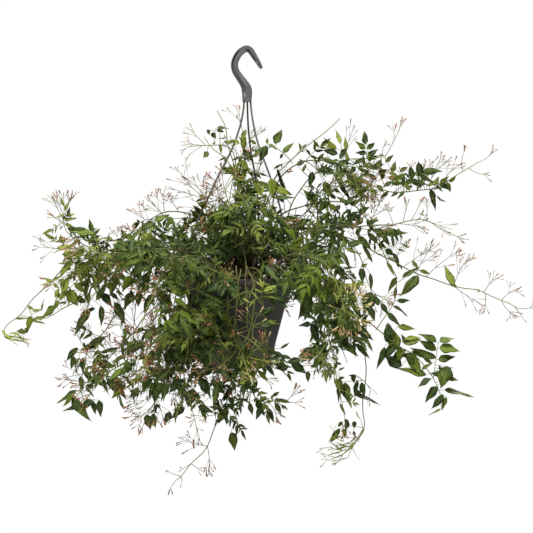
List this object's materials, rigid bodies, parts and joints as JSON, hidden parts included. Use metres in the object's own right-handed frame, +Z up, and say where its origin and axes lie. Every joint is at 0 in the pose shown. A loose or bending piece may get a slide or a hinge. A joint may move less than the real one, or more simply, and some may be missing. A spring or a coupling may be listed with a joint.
{
  "type": "pink jasmine in a hanging pot",
  "caption": "Trailing flowering vine in a round hanging pot: long leafy stems with pinnate leaves and sprays of slim buds spill over the rim below a moulded hook on three strands.",
  "frame": {"origin": "the seat inside the top of the hook, where the hook lies on the rod or rail that carries it", "axes": "+Z up, +X along the widest spread of the plant, -Y towards the room"},
  "size_m": [0.8436, 0.5098, 0.7188],
  "materials": {
    "pot": "matte",
    "soil": "matte",
    "hanger": "satin",
    "foliage": "satin",
    "young_foliage": "satin",
    "buds": "satin",
    "pale_buds": "satin"
  },
  "bodies": {
    "root": {"pot": "pot", "soil": "soil", "hook": "hanger", "strand_left": "hanger", "strand_back": "hanger", "strand_right": "hanger", "bud_spray_right_upper": "buds", "bud_spray_right_mid": "buds", "bud_spray_right_front": "pale_buds", "bud_spray_top_centre": "buds", "bud_spray_left_top": "buds", "bud_spray_left_up": "buds", "bud_spray_low_left_front": "buds", "bud_spray_low_left_middle": "buds", "bud_spray_bottom_whip": "buds", "bud_spray_bottom_right": "buds", "bud_spray_front_middle": "buds", "bud_spray_back_left": "buds", "bud_spray_back_middle": "buds", "right_whip_up": "foliage", "right_upper": "foliage", "right_top_leaves": "foliage", "right_mid": "foliage", "right_whip_low": "young_foliage", "right_big_leaves": "foliage", "right_trail": "foliage", "right_low": "foliage", "right_front": "foliage", "right_behind": "young_foliage", "right_middle": "foliage", "top_centre": "foliage", "top_left": "foliage", "top_cane": "foliage", "top_right_leaf": "young_foliage", "crown_front": "foliage", "left_top": "foliage", "left_arch": "foliage", "left_up": "foliage", "left_whip": "young_foliage", "left_droop": "foliage", "left_front": "foliage", "left_behind": "foliage", "low_left_outer": "foliage", "low_left_front": "young_foliage", "low_left_middle": "foliage", "low_left_inner": "foliage", "bottom_whip": "foliage", "bottom_middle": "foliage", "bottom_right": "young_foliage", "front_middle": "foliage", "front_left": "foliage", "front_far_left": "foliage", "room_left": "foliage", "room_right": "young_foliage", "back_right": "foliage", "back_left": "foliage", "back_middle": "foliage", "back_up": "foliage", "back_low_right": "young_foliage", "back_low_left": "foliage"}
  },
  "joints": []
}
